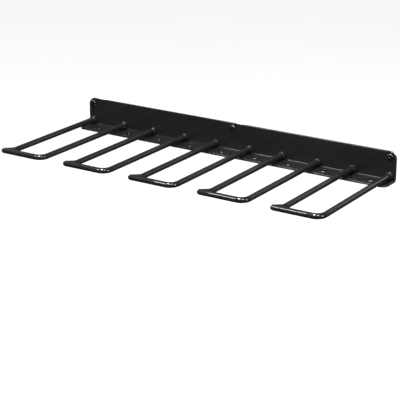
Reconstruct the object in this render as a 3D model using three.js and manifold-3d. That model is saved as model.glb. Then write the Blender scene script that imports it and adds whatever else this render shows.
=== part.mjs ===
// Wall-mounted power tool organizer: a bent steel plate that carries five closed hooks of round rod.
// The slots between neighbouring hooks are open at the front, and the flange has a row of round holes.
//
// Frame, in millimetres: the wall is the plane Y = 0 and the room lies towards -Y. +X runs along the rack to
// the right of a viewer who faces the wall, and +Z is up. The origin is the centre of the plate's back face.
import * as THREE from "three";
import { mergeVertices } from "three/addons/utils/BufferGeometryUtils.js";
import Module from "manifold-3d";

const wasm = await Module();
wasm.setup();

// Back plate: one sheet, bent into a wall leaf and a flange that points into the room. It is as long as the row
// of hooks, with a margin past the middle of the last rod at each end.
const PLATE_END_MARGIN = 8;
const PLATE_HEIGHT = 42.5;
const SHEET_THICKNESS = 3;
const FLANGE_DEPTH = 32.5;
const BEND_INSIDE_RADIUS = 1;
const PLATE_CORNER_RADIUS = 10;
const FLANGE_CORNER_RADIUS = 10;

// Holes in the flange: an even row from the left end, and one more hole as far from the right end
const TOOL_HOLE_DIAMETER = 10;
const TOOL_HOLE_PITCH = 54.5;
const TOOL_HOLE_ROW_COUNT = 8;
const TOOL_HOLE_END_INSET = 29.25;
const TOOL_HOLE_DISTANCE_FROM_WALL = 18.5;

// Hooks: each is one rod that runs out, across and back, with an ear past its left arm
const HOOK_COUNT = 5;
const HOOK_PITCH = 110;
const HOOK_WIDTH = 56.5;
const HOOK_REACH = 196;
const HOOK_HEIGHT_OVER_FLANGE = 6;
const ROD_DIAMETER = 8;
const FRONT_BEND_RADIUS = 12;
const EAR_OVERHANG = 11;
const EAR_DEPTH = 8;
const EAR_BEND_RADIUS = 8;

// Collars: a ring round each rod end, seated against the plate's front face
const COLLAR_DIAMETER = 11;
const COLLAR_LENGTH = 5;
const COLLAR_CHAMFER = 0.6;

// Hook screws: countersunk, driven from the wall side into the tapped rod ends
const HOOK_SCREW_DIAMETER = 5;
const HOOK_SCREW_HEAD_DIAMETER = 9.2;
const HOOK_SCREW_LENGTH = 16;
const HOOK_SCREW_CHAMFER = 0.8;
const HOOK_SCREW_SOCKET_WIDTH = 3;
const HOOK_SCREW_SOCKET_DEPTH = 1.6;
const ROD_BORE_EXTRA_DEPTH = 2;

// Wall screws: pan heads on the plate's front face, one in the middle and one near each end
const WALL_SCREW_DIAMETER = 4.5;
const WALL_SCREW_LENGTH = 28;
const WALL_SCREW_POINT_LENGTH = 5;
const WALL_SCREW_HEAD_DIAMETER = 9.5;
const WALL_SCREW_HEAD_HEIGHT = 3;
const WALL_SCREW_HEAD_RIM = 1;
const WALL_SCREW_RECESS_WIDTH = 5;
const WALL_SCREW_RECESS_SLOT = 1.1;
const WALL_SCREW_RECESS_DEPTH = 1.8;
const WALL_SCREW_END_INSET = 8.25;
const WALL_SCREW_BELOW_TOP = 7.25;
const WALL_SCREW_HOLE_CLEARANCE = 0.5;

// Wall plugs: a plastic sleeve in the wall behind each wall screw, split from its far end
const PLUG_DIAMETER = 8;
const PLUG_LENGTH = 30;
const PLUG_RIM_DIAMETER = 10;
const PLUG_RIM_THICKNESS = 1;
const PLUG_NECK_LENGTH = 8;
const PLUG_TOOTH_COUNT = 4;
const PLUG_TOOTH_DEPTH = 0.7;
const PLUG_TIP_LENGTH = 4;
const PLUG_TIP_WALL = 0.6;
const PLUG_SLOT_WIDTH = 1.4;

// Gap between pieces that touch, and how far a cutter runs past what it cuts
const FIT_GAP = 0.3;
const OVERRUN = 2;

// Facets on round features
const ROD_SIDES = 20;
const RING_SIDES = 20;
const SCREW_SIDES = 16;
const TOOL_HOLE_SIDES = 24;
const CORNER_STEPS = 4;
const FRONT_BEND_STEPS = 8;
const EAR_BEND_STEPS = 4;
const HEX_SIDES = 6;
const WELD_TOLERANCE_SHARE = 1e-5;

// Places that several pieces share
const PLATE_LENGTH = (HOOK_COUNT - 1) * HOOK_PITCH + HOOK_WIDTH + 2 * PLATE_END_MARGIN;
const ROD_RADIUS = ROD_DIAMETER / 2;
const PLATE_TOP = PLATE_HEIGHT / 2;
const FLANGE_UNDERSIDE = -PLATE_HEIGHT / 2;
const FLANGE_TOP = FLANGE_UNDERSIDE + SHEET_THICKNESS;
const HOOK_Z = FLANGE_TOP + HOOK_HEIGHT_OVER_FLANGE;
const PLATE_FRONT_Y = -SHEET_THICKNESS;
const SEAT_Y = PLATE_FRONT_Y - FIT_GAP;
const FRONT_BAR_Y = PLATE_FRONT_Y - HOOK_REACH;
const HOOK_SCREW_HOLE_RADIUS = HOOK_SCREW_DIAMETER / 2 + FIT_GAP;
const WALL_SCREW_Z = PLATE_TOP - WALL_SCREW_BELOW_TOP;
const WALL_SCREW_X = PLATE_LENGTH / 2 - WALL_SCREW_END_INSET;
const WALL_SCREW_PLACES = { left: -WALL_SCREW_X, middle: 0, right: WALL_SCREW_X };
const ARM_OFFSETS = { left: -HOOK_WIDTH / 2, right: HOOK_WIDTH / 2 };

// Materials
const blackCoat = { color: 0x16171a, roughness: 0.22, metalness: 0.3 };
const blackScrew = { color: 0x101112, roughness: 0.35, metalness: 0.6 };
const zincPlate = { color: 0xb9bcc0, roughness: 0.35, metalness: 0.9 };
const paleNylon = { color: 0xe3e0d6, roughness: 0.55, metalness: 0 };

// A closed geometry as a solid that can be joined and cut. Faces that shrank to a line at a pole are dropped.
function solid(geometry) {
  const bare = geometry.clone();
  bare.deleteAttribute("normal");
  bare.deleteAttribute("uv");
  const merged = mergeVertices(bare, WELD_TOLERANCE_SHARE * PLATE_LENGTH);
  const kept = [];
  const index = merged.index.array;
  for (let i = 0; i < index.length; i += 3) {
    const [a, b, c] = [index[i], index[i + 1], index[i + 2]];
    if (a !== b && b !== c && c !== a) kept.push(a, b, c);
  }
  const vertProperties = merged.getAttribute("position").array;
  return new wasm.Manifold(new wasm.Mesh({ numProp: 3, vertProperties, triVerts: new Uint32Array(kept) }));
}

// A solid back as a geometry for a mesh
function geometryOf(body) {
  const { vertProperties, triVerts } = body.getMesh();
  const geometry = new THREE.BufferGeometry();
  geometry.setAttribute("position", new THREE.BufferAttribute(vertProperties, 3));
  geometry.setIndex(new THREE.BufferAttribute(triVerts, 1));
  geometry.computeVertexNormals();
  return geometry;
}

// A named mesh with its own material
function piece(name, body, look) {
  const mesh = new THREE.Mesh(geometryOf(body), new THREE.MeshStandardMaterial(look));
  mesh.name = name;
  return mesh;
}

// A solid of revolution about the Y axis. The outline lists [radius, y] pairs in the order of rising y.
function turned(outline, sides) {
  const points = outline.map(([radius, y]) => new THREE.Vector2(radius, y));
  return solid(new THREE.LatheGeometry(points, sides));
}

// A plain round cutter along Z
function uprightCylinder(diameter, length, sides) {
  const geometry = new THREE.CylinderGeometry(diameter / 2, diameter / 2, length, sides);
  return solid(geometry.rotateX(Math.PI / 2));
}

// The corner points of a regular polygon
function polygon(radius, sides) {
  const points = [];
  for (let i = 0; i < sides; i += 1) {
    const angle = (2 * Math.PI * i) / sides;
    points.push(new THREE.Vector2(radius * Math.cos(angle), radius * Math.sin(angle)));
  }
  return points;
}

// A rod's centre line in a level plane, drawn as straight runs and bends. It keeps one station at each end of
// a straight run and a few along each bend, so that a tube along it has rings only where the rod turns.
class RodLine extends THREE.Curve {
  constructor(x, y, heading) {
    super();
    this.x = x;
    this.y = y;
    this.heading = heading;
    this.stations = [];
    this.keepStation();
  }

  keepStation() {
    const point = new THREE.Vector3(this.x, this.y, 0);
    const tangent = new THREE.Vector3(Math.cos(this.heading), Math.sin(this.heading), 0);
    this.stations.push({ point, tangent });
  }

  run(length) {
    this.x += length * Math.cos(this.heading);
    this.y += length * Math.sin(this.heading);
    this.keepStation();
    return this;
  }

  // A bend to the right of the way the line runs
  bendRight(radius, angle, steps) {
    const centreX = this.x + radius * Math.sin(this.heading);
    const centreY = this.y - radius * Math.cos(this.heading);
    const start = this.heading;
    for (let i = 1; i <= steps; i += 1) {
      this.heading = start - (angle * i) / steps;
      this.x = centreX - radius * Math.sin(this.heading);
      this.y = centreY + radius * Math.cos(this.heading);
      this.keepStation();
    }
    return this;
  }

  stationAt(share) {
    return this.stations[Math.round(share * (this.stations.length - 1))];
  }

  getPointAt(share, target = new THREE.Vector3()) {
    return target.copy(this.stationAt(share).point);
  }

  getTangentAt(share, target = new THREE.Vector3()) {
    return target.copy(this.stationAt(share).tangent);
  }
}

// A round rod along a centre line
function rod(line) {
  const section = new THREE.Shape(polygon(ROD_RADIUS, ROD_SIDES));
  return solid(new THREE.ExtrudeGeometry(section, { steps: line.stations.length - 1, extrudePath: line }));
}

// The sheet's L-shaped section, in the plane of Y and Z
function sheetSection() {
  const outsideRadius = BEND_INSIDE_RADIUS + SHEET_THICKNESS;
  const insideY = PLATE_FRONT_Y - BEND_INSIDE_RADIUS;
  const insideZ = FLANGE_TOP + BEND_INSIDE_RADIUS;
  const shape = new THREE.Shape();
  shape.moveTo(0, PLATE_TOP);
  shape.lineTo(PLATE_FRONT_Y, PLATE_TOP);
  shape.lineTo(PLATE_FRONT_Y, insideZ);
  shape.absarc(insideY, insideZ, BEND_INSIDE_RADIUS, 0, -Math.PI / 2, true);
  shape.lineTo(-FLANGE_DEPTH, FLANGE_TOP);
  shape.lineTo(-FLANGE_DEPTH, FLANGE_UNDERSIDE);
  shape.lineTo(insideY, FLANGE_UNDERSIDE);
  shape.absarc(insideY, insideZ, outsideRadius, -Math.PI / 2, 0, false);
  return shape;
}

// A rectangle as long as the plate, from a straight edge to a far edge whose two corners are rounded
function roundedOutline(straightEdge, farEdge, radius) {
  const half = PLATE_LENGTH / 2;
  const side = Math.sign(farEdge - straightEdge);
  const centre = farEdge - side * radius;
  const shape = new THREE.Shape();
  shape.moveTo(-half, straightEdge);
  shape.lineTo(half, straightEdge);
  shape.lineTo(half, centre);
  shape.absarc(half - radius, centre, radius, 0, (side * Math.PI) / 2, side < 0);
  shape.absarc(radius - half, centre, radius, (side * Math.PI) / 2, side * Math.PI, side < 0);
  return shape;
}

// The whole length of the bent sheet, with the leaf's top corners and the flange's front corners rounded
function bentSheet() {
  const options = { bevelEnabled: false, curveSegments: CORNER_STEPS };
  const section = new THREE.ExtrudeGeometry(sheetSection(), { ...options, depth: PLATE_LENGTH });
  const [alongX, alongY, alongZ] = [0, 1, 2].map((axis) => new THREE.Vector3().setComponent(axis, 1));
  section.applyMatrix4(new THREE.Matrix4().makeBasis(alongY, alongZ, alongX));
  section.translate(-PLATE_LENGTH / 2, 0, 0);

  const deep = FLANGE_DEPTH + 2 * OVERRUN;
  const leafOutline = roundedOutline(FLANGE_UNDERSIDE - OVERRUN, PLATE_TOP, PLATE_CORNER_RADIUS);
  const leaf = new THREE.ExtrudeGeometry(leafOutline, { ...options, depth: deep });
  leaf.rotateX(Math.PI / 2).translate(0, OVERRUN, 0);

  const high = PLATE_HEIGHT + 2 * OVERRUN;
  const flangeOutline = roundedOutline(OVERRUN, -FLANGE_DEPTH, FLANGE_CORNER_RADIUS);
  const flange = new THREE.ExtrudeGeometry(flangeOutline, { ...options, depth: high });
  flange.translate(0, 0, FLANGE_UNDERSIDE - OVERRUN);
  return solid(section).intersect(solid(leaf)).intersect(solid(flange));
}

// Where the holes lie along the flange
function toolHolePlaces() {
  const end = PLATE_LENGTH / 2 - TOOL_HOLE_END_INSET;
  const places = [];
  for (let i = 0; i < TOOL_HOLE_ROW_COUNT; i += 1) places.push(i * TOOL_HOLE_PITCH - end);
  places.push(end);
  return places;
}

// Where each hook's middle lies along the plate, from left to right
function hookPlaces() {
  const places = [];
  for (let i = 0; i < HOOK_COUNT; i += 1) places.push((i - (HOOK_COUNT - 1) / 2) * HOOK_PITCH);
  return places;
}

// A screw hole through the leaf whose countersink opens on the wall side, parallel to the screw's head
function hookScrewHole() {
  const mouthRadius = HOOK_SCREW_HEAD_DIAMETER / 2 + FIT_GAP * (1 + Math.SQRT2);
  const coneDepth = mouthRadius - HOOK_SCREW_HOLE_RADIUS;
  return turned(
    [
      [0, PLATE_FRONT_Y - OVERRUN],
      [HOOK_SCREW_HOLE_RADIUS, PLATE_FRONT_Y - OVERRUN],
      [HOOK_SCREW_HOLE_RADIUS, -coneDepth],
      [mouthRadius, 0],
      [mouthRadius, OVERRUN],
      [0, OVERRUN],
    ],
    SCREW_SIDES,
  );
}

// A plain hole through the leaf for a wall screw
function wallScrewHole() {
  const radius = WALL_SCREW_DIAMETER / 2 + WALL_SCREW_HOLE_CLEARANCE;
  return turned(
    [
      [0, PLATE_FRONT_Y - OVERRUN],
      [radius, PLATE_FRONT_Y - OVERRUN],
      [radius, OVERRUN],
      [0, OVERRUN],
    ],
    SCREW_SIDES,
  );
}

// Back plate: the bent sheet with every hole in it
function backPlate() {
  let body = bentSheet();
  const toolHole = uprightCylinder(TOOL_HOLE_DIAMETER, SHEET_THICKNESS + 2 * OVERRUN, TOOL_HOLE_SIDES);
  const middleOfFlange = (FLANGE_TOP + FLANGE_UNDERSIDE) / 2;
  for (const x of toolHolePlaces()) {
    body = body.subtract(toolHole.translate([x, -TOOL_HOLE_DISTANCE_FROM_WALL, middleOfFlange]));
  }
  for (const middle of hookPlaces()) {
    for (const offset of Object.values(ARM_OFFSETS)) {
      body = body.subtract(hookScrewHole().translate([middle + offset, 0, HOOK_Z]));
    }
  }
  for (const x of Object.values(WALL_SCREW_PLACES)) {
    body = body.subtract(wallScrewHole().translate([x, 0, WALL_SCREW_Z]));
  }
  return piece("back_plate", body, blackCoat);
}

// Hook, with its middle at x = 0. The right arm bends into the front bar, which overhangs the left arm. The left
// arm is swept outwards and welded along the overhanging end, which makes a rounded ear that narrows the mouth
// of the slot beside it, so that what hangs there can't slide off the front.
function hookBody() {
  const outwards = -Math.PI / 2;
  const armRun = SEAT_Y - FRONT_BAR_Y;
  const bar = new RodLine(ARM_OFFSETS.right, SEAT_Y, outwards)
    .run(armRun - FRONT_BEND_RADIUS)
    .bendRight(FRONT_BEND_RADIUS, Math.PI / 2, FRONT_BEND_STEPS)
    .run(HOOK_WIDTH - FRONT_BEND_RADIUS + EAR_OVERHANG);

  const lean = Math.atan2(EAR_OVERHANG, EAR_DEPTH);
  const bendRun = EAR_BEND_RADIUS * Math.tan(lean / 2);
  const arm = new RodLine(ARM_OFFSETS.left, SEAT_Y, outwards)
    .run(armRun - EAR_DEPTH - bendRun)
    .bendRight(EAR_BEND_RADIUS, lean, EAR_BEND_STEPS)
    .run(Math.hypot(EAR_OVERHANG, EAR_DEPTH) - bendRun);

  const tip = new THREE.SphereGeometry(ROD_RADIUS, ROD_SIDES, ROD_SIDES / 2);
  tip.rotateZ(Math.PI / 2).translate(ARM_OFFSETS.left - EAR_OVERHANG, FRONT_BAR_Y, 0);
  return rod(bar).add(rod(arm)).add(solid(tip));
}

// The tapped bore in a rod's end, with a conical bottom
function rodBore() {
  const bottom = -HOOK_SCREW_LENGTH - ROD_BORE_EXTRA_DEPTH;
  return turned(
    [
      [0, bottom - HOOK_SCREW_HOLE_RADIUS / 2],
      [HOOK_SCREW_HOLE_RADIUS, bottom],
      [HOOK_SCREW_HOLE_RADIUS, SEAT_Y + OVERRUN],
      [0, SEAT_Y + OVERRUN],
    ],
    SCREW_SIDES,
  );
}

function hook(name) {
  let body = hookBody();
  for (const offset of Object.values(ARM_OFFSETS)) {
    body = body.subtract(rodBore().translate([offset, 0, 0]));
  }
  return piece(name, body, blackCoat);
}

// Collar round a rod end, chamfered towards the room
function collar(name) {
  const bore = ROD_RADIUS + FIT_GAP;
  const outside = COLLAR_DIAMETER / 2;
  const front = SEAT_Y - COLLAR_LENGTH;
  const body = turned(
    [
      [bore, front],
      [outside - COLLAR_CHAMFER, front],
      [outside, front + COLLAR_CHAMFER],
      [outside, SEAT_Y],
      [bore, SEAT_Y],
      [bore, front],
    ],
    RING_SIDES,
  );
  return piece(name, body, blackCoat);
}

// Countersunk screw whose head lies just under the plate's back face, with a hexagon socket
function hookScrew(name) {
  const head = HOOK_SCREW_HEAD_DIAMETER / 2;
  const shank = HOOK_SCREW_DIAMETER / 2;
  const back = -FIT_GAP;
  const body = turned(
    [
      [0, -HOOK_SCREW_LENGTH],
      [shank - HOOK_SCREW_CHAMFER, -HOOK_SCREW_LENGTH],
      [shank, HOOK_SCREW_CHAMFER - HOOK_SCREW_LENGTH],
      [shank, back - (head - shank)],
      [head, back],
      [0, back],
    ],
    SCREW_SIDES,
  );
  const acrossCorners = HOOK_SCREW_SOCKET_WIDTH / Math.cos(Math.PI / HEX_SIDES);
  const socketLength = HOOK_SCREW_SOCKET_DEPTH + OVERRUN;
  const socket = new THREE.CylinderGeometry(acrossCorners / 2, acrossCorners / 2, socketLength, HEX_SIDES);
  socket.translate(0, back - HOOK_SCREW_SOCKET_DEPTH + socketLength / 2, 0);
  return piece(name, body.subtract(solid(socket)), zincPlate);
}

// Wall screw with a domed pan head, a cross recess and a point
function wallScrew(name) {
  const head = WALL_SCREW_HEAD_DIAMETER / 2;
  const shank = WALL_SCREW_DIAMETER / 2;
  const crown = SEAT_Y - WALL_SCREW_HEAD_HEIGHT;
  const rim = SEAT_Y - WALL_SCREW_HEAD_RIM;
  const tip = SEAT_Y + WALL_SCREW_LENGTH;
  const dome = [];
  for (let i = 0; i <= CORNER_STEPS; i += 1) {
    const angle = (Math.PI * i) / (2 * CORNER_STEPS);
    dome.push([head * Math.sin(angle), rim - (rim - crown) * Math.cos(angle)]);
  }
  const body = turned(
    [...dome, [head, SEAT_Y], [shank, SEAT_Y], [shank, tip - WALL_SCREW_POINT_LENGTH], [0, tip]],
    SCREW_SIDES,
  );
  const recessLength = WALL_SCREW_RECESS_DEPTH + OVERRUN;
  const recessMiddle = crown + WALL_SCREW_RECESS_DEPTH - recessLength / 2;
  const slot = [WALL_SCREW_RECESS_WIDTH, recessLength, WALL_SCREW_RECESS_SLOT];
  const level = solid(new THREE.BoxGeometry(...slot).translate(0, recessMiddle, 0));
  const upright = solid(new THREE.BoxGeometry(...slot).rotateY(Math.PI / 2).translate(0, recessMiddle, 0));
  return piece(name, body.subtract(level.add(upright)), blackScrew);
}

// Wall plug: rim, plain neck, toothed sleeve and a tapered tip, bored right through and slotted from the tip
function wallPlug(name) {
  const bore = WALL_SCREW_DIAMETER / 2 + FIT_GAP;
  const outside = PLUG_DIAMETER / 2;
  const rim = PLUG_RIM_DIAMETER / 2;
  const mouth = FIT_GAP;
  const end = mouth + PLUG_LENGTH;
  const teethStart = mouth + PLUG_NECK_LENGTH;
  const toothLength = (PLUG_LENGTH - PLUG_NECK_LENGTH - PLUG_TIP_LENGTH) / PLUG_TOOTH_COUNT;
  const teeth = [];
  for (let i = 0; i < PLUG_TOOTH_COUNT; i += 1) {
    teeth.push([outside - PLUG_TOOTH_DEPTH, teethStart + i * toothLength]);
    teeth.push([outside, teethStart + (i + 1) * toothLength]);
  }
  const body = turned(
    [
      [bore, mouth],
      [rim, mouth],
      [rim, mouth + PLUG_RIM_THICKNESS],
      [outside, mouth + PLUG_RIM_THICKNESS],
      [outside, teethStart],
      ...teeth,
      [bore + PLUG_TIP_WALL, end],
      [bore, end],
      [bore, mouth],
    ],
    RING_SIDES,
  );
  const slotLength = PLUG_LENGTH - PLUG_NECK_LENGTH + OVERRUN;
  const slot = new THREE.BoxGeometry(PLUG_SLOT_WIDTH, slotLength, PLUG_DIAMETER + 2 * OVERRUN);
  slot.translate(0, teethStart + slotLength / 2, 0);
  return piece(name, body.subtract(solid(slot)), paleNylon);
}

// The assembly
const organizer = new THREE.Group();
organizer.name = "wall_mounted_power_tool_organizer";
organizer.add(backPlate());

hookPlaces().forEach((middle, index) => {
  const name = `hook_${index + 1}`;
  const set = new THREE.Group();
  set.position.set(middle, 0, HOOK_Z);
  set.add(hook(name));
  for (const [side, offset] of Object.entries(ARM_OFFSETS)) {
    const ring = collar(`${name}_${side}_collar`);
    const screw = hookScrew(`${name}_${side}_screw`);
    ring.position.setX(offset);
    screw.position.setX(offset);
    set.add(ring, screw);
  }
  organizer.add(set);
});

for (const [side, x] of Object.entries(WALL_SCREW_PLACES)) {
  const screw = wallScrew(`wall_screw_${side}`);
  const plug = wallPlug(`wall_plug_${side}`);
  screw.position.set(x, 0, WALL_SCREW_Z);
  plug.position.set(x, 0, WALL_SCREW_Z);
  organizer.add(screw, plug);
}

export default organizer;
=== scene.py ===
# %% [markdown]
# A wall rack of bent sheet and round rod
#
# The rack is one bent steel sheet with five closed hooks of round rod, all in gloss black. Almost
# everything on it is sheet, rod or a turned part, so each piece is modelled the way a workshop makes it:
# the sheet is folded, the rods are bent, the screws are turned. The other half of the work is the paint.
# A gloss black surface has next to no colour of its own, and all that the eye gets from it is what it
# reflects.

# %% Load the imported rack
import math
import bmesh
import bpy
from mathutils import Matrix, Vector


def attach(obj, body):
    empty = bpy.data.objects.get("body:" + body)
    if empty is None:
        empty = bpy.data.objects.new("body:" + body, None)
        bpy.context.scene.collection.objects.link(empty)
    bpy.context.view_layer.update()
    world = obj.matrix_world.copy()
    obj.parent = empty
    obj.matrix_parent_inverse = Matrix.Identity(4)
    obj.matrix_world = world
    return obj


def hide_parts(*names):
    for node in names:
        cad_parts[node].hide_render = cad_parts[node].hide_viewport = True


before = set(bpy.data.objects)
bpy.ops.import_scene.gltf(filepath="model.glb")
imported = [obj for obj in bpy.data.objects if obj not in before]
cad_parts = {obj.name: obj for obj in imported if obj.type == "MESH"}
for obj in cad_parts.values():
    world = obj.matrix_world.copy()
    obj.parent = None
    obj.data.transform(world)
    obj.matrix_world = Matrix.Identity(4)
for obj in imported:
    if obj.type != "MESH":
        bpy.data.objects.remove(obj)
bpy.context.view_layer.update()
print("nodes in the frame:", len(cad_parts))

# %% [markdown]
# The camera
#
# The rack is photographed from the right and from above with a long lens, which keeps the five hooks
# nearly parallel. A camera can be turned by hand until the picture looks right, or be aimed at a point.
# Aiming is steadier: this one stands at the place that fits the rack's straight edges best, and looks at
# a point in the plane of the plate's back, a little below it.

# %% Place the camera
CAMERA_PLACE = Vector((1.0148, -1.6554, 0.5896))
CAMERA_TARGET = Vector((-0.0579, 0.0, -0.1071))
SENSOR_WIDTH = 36
FOCAL_LENGTH = 127.43


def aim(thing, target):
    """Turns a camera or a lamp so that it looks at a point."""
    thing.rotation_euler = (target - thing.location).to_track_quat("-Z", "Y").to_euler()


bpy.ops.object.camera_add(location=CAMERA_PLACE)
camera = bpy.context.object
camera.data.sensor_width = SENSOR_WIDTH
camera.data.lens = FOCAL_LENGTH
aim(camera, CAMERA_TARGET)
bpy.context.scene.camera = camera
print("camera distance in metres:", round((CAMERA_TARGET - CAMERA_PLACE).length, 3))
print("view angle in degrees:", round(math.degrees(camera.data.angle), 1))

# %% [markdown]
# Helpers for working by hand
#
# In Blender an operator acts on whatever is selected, so most mistakes come from an old selection. The
# first helper leaves one object selected. The second one does in edit mode what a box select does on the
# screen: it selects only the vertices, edges or faces that pass a test of where they are.

# %% Select one object or some of its parts
MM = 0.001
NEAR = 0.01 * MM


def only(piece):
    """Selects one object and nothing else."""
    bpy.ops.object.select_all(action="DESELECT")
    piece.select_set(True)
    bpy.context.view_layer.objects.active = piece


def middle(part):
    """The middle of a vertex, an edge or a face."""
    corners = getattr(part, "verts", None) or [part]
    return sum((corner.co for corner in corners), Vector()) / len(corners)


def choose(kind, test):
    """Selects in edit mode the parts that pass the test, and returns how many they are."""
    bpy.ops.mesh.select_mode(type=kind)
    bpy.ops.mesh.select_all(action="DESELECT")
    data = bpy.context.edit_object.data
    mesh = bmesh.from_edit_mesh(data)
    parts = {"VERT": mesh.verts, "EDGE": mesh.edges, "FACE": mesh.faces}[kind]
    chosen = [part for part in parts if test(part)]
    for part in chosen:
        part.select_set(True)
    bmesh.update_edit_mesh(data)
    return len(chosen)


print("vertices closer than this are merged, in metres:", NEAR)

# %% [markdown]
# The next helpers stand for the few steps that come back with nearly every piece. Extruding, merging what
# lies double and applying a modifier are what hands do most, and each is one operator with its numbers.
# The last one measures a finished piece: a piece that is closed has no open edges and a volume above
# nought, and only such a piece can be cut and bevelled without surprises.

# %% Extrude, apply and measure
def push(x=0.0, y=0.0, z=0.0):
    """Extrudes what is selected by a distance along each axis."""
    bpy.ops.mesh.extrude_region_move(TRANSFORM_OT_translate={"value": (x, y, z)})


def settle(piece):
    """Moves an object's place, turn and size into its mesh, so that the object itself sits at the origin."""
    only(piece)
    bpy.ops.object.transform_apply(location=True, rotation=True, scale=True)


def modify(piece, kind, **settings):
    """Adds a modifier and applies it at once."""
    only(piece)
    modifier = piece.modifiers.new(kind.lower(), kind)
    for name, value in settings.items():
        setattr(modifier, name, value)
    bpy.ops.object.modifier_apply(modifier=modifier.name)


def close_up(piece):
    """Merges doubled vertices and turns all faces outwards."""
    only(piece)
    bpy.ops.object.mode_set(mode="EDIT")
    bpy.ops.mesh.select_all(action="SELECT")
    bpy.ops.mesh.remove_doubles(threshold=NEAR)
    bpy.ops.mesh.normals_make_consistent(inside=False)
    bpy.ops.object.mode_set(mode="OBJECT")


def report(piece):
    """Prints how large a finished piece is, whether it is closed, and how many triangles it has."""
    data = piece.data
    data.calc_loop_triangles()
    mesh = bmesh.new()
    mesh.from_mesh(data)
    loose = sum(1 for edge in mesh.edges if not edge.is_manifold)
    volume = mesh.calc_volume(signed=True) / MM ** 3
    mesh.free()
    low = [round(min(v.co[i] for v in data.vertices) / MM, 2) for i in range(3)]
    high = [round(max(v.co[i] for v in data.vertices) / MM, 2) for i in range(3)]
    print(piece.name, "mm from", low, "to", high, "volume", round(volume), "mm3,",
          len(data.loop_triangles), "triangles,", loose, "open edges")


# %% [markdown]
# The back plate
#
# The real one is a strip of 3 mm steel, laser cut with rounded corners and holes, then folded on a press
# so that a narrow shelf points into the room. It could be an extruded L, but folding a flat sheet is
# closer to the real part and gives the round fold for free: a flat plane is the shelf's underside, its
# back edge is pulled up into the upright leaf, the fold edge is bevelled to the outside radius of the
# bend, and Solidify gives the thickness.

# %% Fold the sheet
PLATE_LENGTH = 512.5 * MM
PLATE_HEIGHT = 42.5 * MM
SHEET = 3 * MM
SHELF_DEPTH = 32.5 * MM
FOLD_RADIUS = 4 * MM
FOLD_STEPS = 6
CORNER_RADIUS = 10 * MM
CORNER_STEPS = 10
BOTTOM = -PLATE_HEIGHT / 2
TOP = PLATE_HEIGHT / 2

bpy.ops.mesh.primitive_plane_add(size=1, location=(0, -SHELF_DEPTH / 2, BOTTOM))
plate = bpy.context.object
plate.name = "folded_sheet"
plate.scale = (PLATE_LENGTH, SHELF_DEPTH, 1)
settle(plate)
bpy.ops.object.mode_set(mode="EDIT")
choose("EDGE", lambda edge: abs(middle(edge).y) < NEAR)
push(z=PLATE_HEIGHT)
choose("EDGE", lambda edge: abs(middle(edge).y) < NEAR and abs(middle(edge).z - BOTTOM) < NEAR)
bpy.ops.mesh.bevel(offset=FOLD_RADIUS, segments=FOLD_STEPS, affect="EDGES", clamp_overlap=False)


def is_free_corner(vertex):
    """True at the two top corners of the leaf and the two front corners of the shelf."""
    at_top = abs(vertex.co.z - TOP) < NEAR
    at_front = abs(vertex.co.y + SHELF_DEPTH) < NEAR
    return at_top or at_front


corners = choose("VERT", is_free_corner)
bpy.ops.mesh.bevel(offset=CORNER_RADIUS, segments=CORNER_STEPS, affect="VERTICES", clamp_overlap=False)
bpy.ops.object.mode_set(mode="OBJECT")
modify(plate, "SOLIDIFY", thickness=SHEET, offset=1, use_even_offset=True)
close_up(plate)
print("rounded corners:", corners)
report(plate)

# %% [markdown]
# A laser leaves a sharp edge, and powder doesn't hold on one, so the outline is tumbled round before
# coating. On a black part that round edge is the thin bright line that draws its shape. A Bevel modifier
# rounds every edge that is sharper than 35 degrees, which here is the whole outline and nothing on the
# fold.

# %% Round the outline
EDGE_RADIUS = 1.0 * MM


def round_edges(piece, radius, angle=35, segments=3):
    """Rounds all edges sharper than the angle."""
    modify(
        piece, "BEVEL", width=radius, segments=segments, limit_method="ANGLE",
        angle_limit=math.radians(angle), use_clamp_overlap=False,
    )


round_edges(plate, EDGE_RADIUS, segments=4)
report(plate)

# %% [markdown]
# The holes are cut with one Boolean modifier, as a laser would cut them: nine round holes in the shelf,
# three in the leaf for the wall screws, and ten for the screws that hold the hooks. The last ten are
# countersunk from behind, so their cutter is a cylinder that opens to a cone.

# %% Shape the cutters
HOOK_Z = -12.25 * MM
HOOK_HOLE_RADIUS = 2.7 * MM
FLARE_START = -2.4 * MM
FLARE_END = 1 * MM
FLARE_RADIUS = HOOK_HOLE_RADIUS + FLARE_END - FLARE_START
CUTTER_LENGTH = 10 * MM
ROUND_SIDES = 48
AROUND_Y = (-math.pi / 2, 0, 0)


def widen(factors, centre):
    """Scales what is selected about a point."""
    bpy.ops.transform.resize(value=factors, center_override=centre)


def round_bar(radius, length, place, turn=(0, 0, 0), sides=ROUND_SIDES):
    """A plain cylinder, upright unless it is turned."""
    bpy.ops.mesh.primitive_cylinder_add(
        vertices=sides, radius=radius, depth=length, location=place, rotation=turn
    )
    return bpy.context.object


def faces_back(face):
    """True for the end face that looks towards +Y."""
    return face.normal.y > 0.9


def countersink(x):
    """The cutter of one hook screw's hole: a plain bar whose back end opens to a cone of 90 degrees."""
    bar = round_bar(HOOK_HOLE_RADIUS, CUTTER_LENGTH, (x, FLARE_START - CUTTER_LENGTH / 2, HOOK_Z), AROUND_Y)
    settle(bar)
    bpy.ops.object.mode_set(mode="EDIT")
    choose("FACE", faces_back)
    push(y=FLARE_END - FLARE_START)
    widen((FLARE_RADIUS / HOOK_HOLE_RADIUS, 1, FLARE_RADIUS / HOOK_HOLE_RADIUS), (x, FLARE_END, HOOK_Z))
    bpy.ops.object.mode_set(mode="OBJECT")
    return bar


print("widest part of a countersink's cutter in mm:", round(2 * FLARE_RADIUS / MM, 2))

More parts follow.
